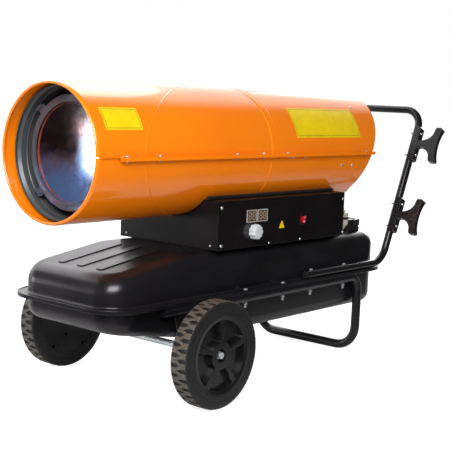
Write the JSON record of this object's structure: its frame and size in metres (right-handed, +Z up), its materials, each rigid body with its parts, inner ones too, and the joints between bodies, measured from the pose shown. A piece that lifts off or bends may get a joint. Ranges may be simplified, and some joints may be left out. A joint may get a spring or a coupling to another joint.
{
  "type": "diesel space heater",
  "caption": "Direct-fired torpedo heater: slant-cut heat tube over a fuel tank, side control panel, wheeled tube chassis with rear leg, push handle and cord hooks.",
  "frame": {"origin": "on the floor, under the middle of the heater's overall length and between its wheels", "axes": "+Z up; the nozzle faces -X and the push handle is at +X; the control panel faces -Y"},
  "size_m": [1.321, 0.5654, 0.7305],
  "materials": {
    "orange_enamel": "gloss powder coat",
    "black_satin": "satin powder coat",
    "black_plastic": "matte",
    "tyre_rubber": "dusty",
    "hose_rubber": "matte",
    "zinc_steel": "zinc plated",
    "heat_steel": "heat tinted",
    "liner_paint": "dark heat paint",
    "brass": "turned",
    "ceramic": "glazed",
    "motor_paint": "semi gloss",
    "cast_alloy": "cast",
    "clear_plastic": "translucent",
    "white_plastic": "gloss",
    "red_plastic": "gloss",
    "grey_plastic": "smoked",
    "board_green": "solder mask"
  },
  "bodies": {
    "heater": {"upper_shell_front": "orange_enamel", "upper_shell_rear": "orange_enamel", "lower_shell": "orange_enamel", "heat_liner": "liner_paint", "combustion_chamber": "heat_steel", "chamber_support_front": "zinc_steel", "chamber_support_rear": "zinc_steel", "flame_deflector": "heat_steel", "burner_head": "zinc_steel", "electrode_left": "ceramic", "electrode_right": "ceramic", "flame_sensor": "black_plastic", "oil_nozzle": "brass", "fan_motor": "motor_paint", "motor_mount_front": "zinc_steel", "motor_mount_rear": "zinc_steel", "air_pump_housing": "cast_alloy", "air_filter_cover": "black_plastic", "rear_guard": "zinc_steel", "tank_upper": "black_satin", "tank_lower": "black_satin", "filler_neck": "black_plastic", "fuel_strainer": "clear_plastic", "drain_plug": "zinc_steel", "fuel_filter": "clear_plastic", "suction_hose": "hose_rubber", "feed_hose": "hose_rubber", "support_box": "black_satin", "control_panel": "black_satin", "far_side_panel": "black_satin", "edge_trim_right": "hose_rubber", "edge_trim_left": "hose_rubber", "display_module": "grey_plastic", "thermostat_body": "black_plastic", "switch_housing": "black_plastic", "control_board": "board_green", "ignition_transformer": "black_plastic", "cable_gland": "black_plastic", "wheel_axle": "zinc_steel", "axle_bracket_right": "black_satin", "axle_bracket_left": "black_satin", "axle_nut_right": "zinc_steel", "axle_nut_left": "zinc_steel", "chassis_frame": "black_satin", "push_handle": "black_satin", "handle_end_cap_right": "black_plastic", "handle_end_cap_left": "black_plastic", "cord_hook_upper": "black_plastic", "cord_hook_lower": "black_plastic"},
    "wheel_right": {"tyre_right": "tyre_rubber", "wheel_hub_right": "black_plastic"},
    "wheel_left": {"tyre_left": "tyre_rubber", "wheel_hub_left": "black_plastic"},
    "rotor": {"axial_fan": "cast_alloy", "motor_shaft": "zinc_steel", "air_pump_rotor": "cast_alloy"},
    "knob": {"thermostat_knob": "white_plastic"},
    "rocker": {"power_rocker": "red_plastic"},
    "seal": {"cap_seal": "hose_rubber"},
    "cap": {"fuel_cap": "black_plastic"}
  },
  "joints": [
    {"name": "wheel_right_spin", "type": "hinge", "parent": "heater", "child": "wheel_right", "pos_m": [-0.3735, -0.2577, 0.125], "axis": [0, 1, 0], "continuous": true},
    {"name": "wheel_left_spin", "type": "hinge", "parent": "heater", "child": "wheel_left", "pos_m": [-0.3735, 0.2577, 0.125], "axis": [0, 1, 0], "continuous": true},
    {"name": "fan_spin", "type": "hinge", "parent": "heater", "child": "rotor", "pos_m": [0.1, 0, 0.57], "axis": [1, 0, 0], "continuous": true},
    {"name": "thermostat_turn", "type": "hinge", "parent": "heater", "child": "knob", "pos_m": [-0.1335, -0.17, 0.379], "axis": [0, 1, 0], "range_deg": [0, 270]},
    {"name": "power_switch", "type": "hinge", "parent": "heater", "child": "rocker", "pos_m": [0.0705, -0.162, 0.399], "axis": [1, 0, 0], "range_deg": [-18, 0]},
    {"name": "cap_lift", "type": "slide", "parent": "heater", "child": "seal", "axis": [0, 0, 1], "range_m": [0, 0.09]},
    {"name": "cap_turn", "type": "hinge", "parent": "seal", "child": "cap", "pos_m": [0.3885, -0.098, 0.36], "axis": [0, 0, 1], "range_deg": [0, 270]}
  ]
}
